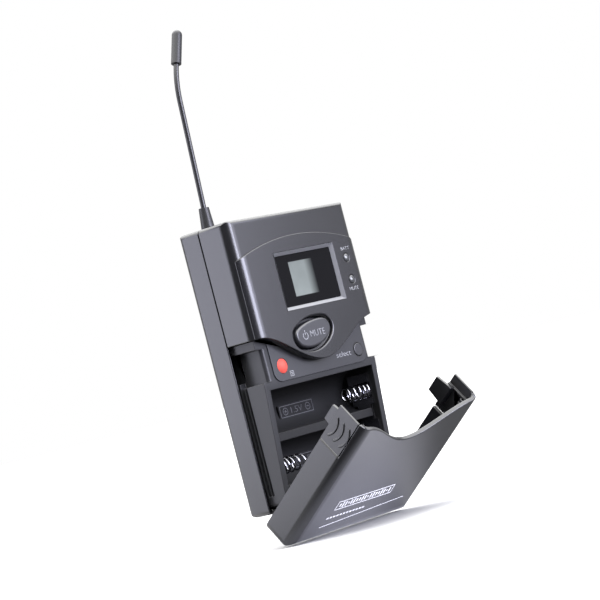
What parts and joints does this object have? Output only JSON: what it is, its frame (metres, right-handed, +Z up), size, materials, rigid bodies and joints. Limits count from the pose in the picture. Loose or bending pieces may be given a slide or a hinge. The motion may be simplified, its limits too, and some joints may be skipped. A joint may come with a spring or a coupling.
{
  "type": "wireless bodypack transmitter",
  "caption": "Slim bodypack transmitter with a wire antenna, display window, mute button and fold-down battery door, open over its bay; latches, belt clip, audio socket.",
  "frame": {"origin": "middle of the back face, on the belt's seat under the belt clip, 50 mm above the case's underside", "axes": "+X to the right seen from the front, +Y towards the back and the wearer, +Z up towards the antenna"},
  "size_m": [0.0668, 0.0682, 0.1864],
  "materials": {
    "case_grey": "fine moulded texture, satin",
    "shield_grey": "satin",
    "tray_grey": "moulded",
    "panel_grey": "satin label",
    "latch_grey": "moulded",
    "window_black": "clear gloss over black",
    "lcd": "unlit liquid crystal",
    "dark_plastic": "moulded",
    "button_grey": "satin",
    "ir_red": "translucent red",
    "led_white": "clear lens",
    "board_green": "solder mask",
    "can_metal": "tinned",
    "spring_steel": "bright nickel",
    "contact_metal": "nickel plate",
    "plate_grey": "embossed",
    "boot_rubber": "moulded",
    "wire_black": "flexible sleeve",
    "jack_metal": "turned",
    "clip_metal": "satin black",
    "pin_steel": "plain",
    "lead_red": "insulated"
  },
  "bodies": {
    "case": {"rear_shell": "case_grey", "front_shell": "case_grey", "shield": "shield_grey", "battery_tray": "tray_grey", "control_panel": "panel_grey", "hinge_pins": "pin_steel", "window_lens": "window_black", "lcd_panel": "lcd", "lcd_frame": "dark_plastic", "ir_window": "ir_red", "battery_led": "led_white", "mute_led": "led_white", "main_board": "board_green", "shield_can": "can_metal", "tact_switches": "dark_plastic", "spring_upper": "spring_steel", "spring_lower": "spring_steel", "bridge_contact": "contact_metal", "left_contacts": "contact_metal", "polarity_plates": "plate_grey", "antenna_base": "dark_plastic", "antenna_boot": "boot_rubber", "antenna_wire": "wire_black", "antenna_tip": "boot_rubber", "jack_barrel": "jack_metal", "jack_body": "dark_plastic", "belt_clip": "clip_metal", "clip_screws": "pin_steel", "case_screws": "pin_steel", "battery_lead": "lead_red"},
    "door": {"battery_door": "case_grey", "latch_pins": "pin_steel"},
    "latch_left": {"latch_left": "latch_grey"},
    "latch_right": {"latch_right": "latch_grey"},
    "mute_button": {"mute_button": "button_grey"},
    "set_button": {"set_button": "button_grey"}
  },
  "joints": [
    {"name": "door_hinge", "type": "hinge", "parent": "case", "child": "door", "pos_m": [0, -0.0046, -0.0462], "axis": [1, 0, 0], "range_deg": [-54, 0]},
    {"name": "latch_left_press", "type": "hinge", "parent": "door", "child": "latch_left", "pos_m": [-0.0302, -0.05191, -0.03136], "axis": [0, 0.809, -0.5878], "range_deg": [0, 5], "stiffness_Nm_per_rad": 0.05},
    {"name": "latch_right_press", "type": "hinge", "parent": "door", "child": "latch_right", "pos_m": [0.0302, -0.05191, -0.03136], "axis": [0, -0.809, 0.5878], "range_deg": [0, 5], "stiffness_Nm_per_rad": 0.05},
    {"name": "mute_press", "type": "slide", "parent": "case", "child": "mute_button", "axis": [0, 1, 0], "range_m": [0, 0.0005], "stiffness_N_per_m": 800},
    {"name": "set_press", "type": "slide", "parent": "case", "child": "set_button", "axis": [0, 1, 0], "range_m": [0, 0.0005], "stiffness_N_per_m": 800}
  ]
}
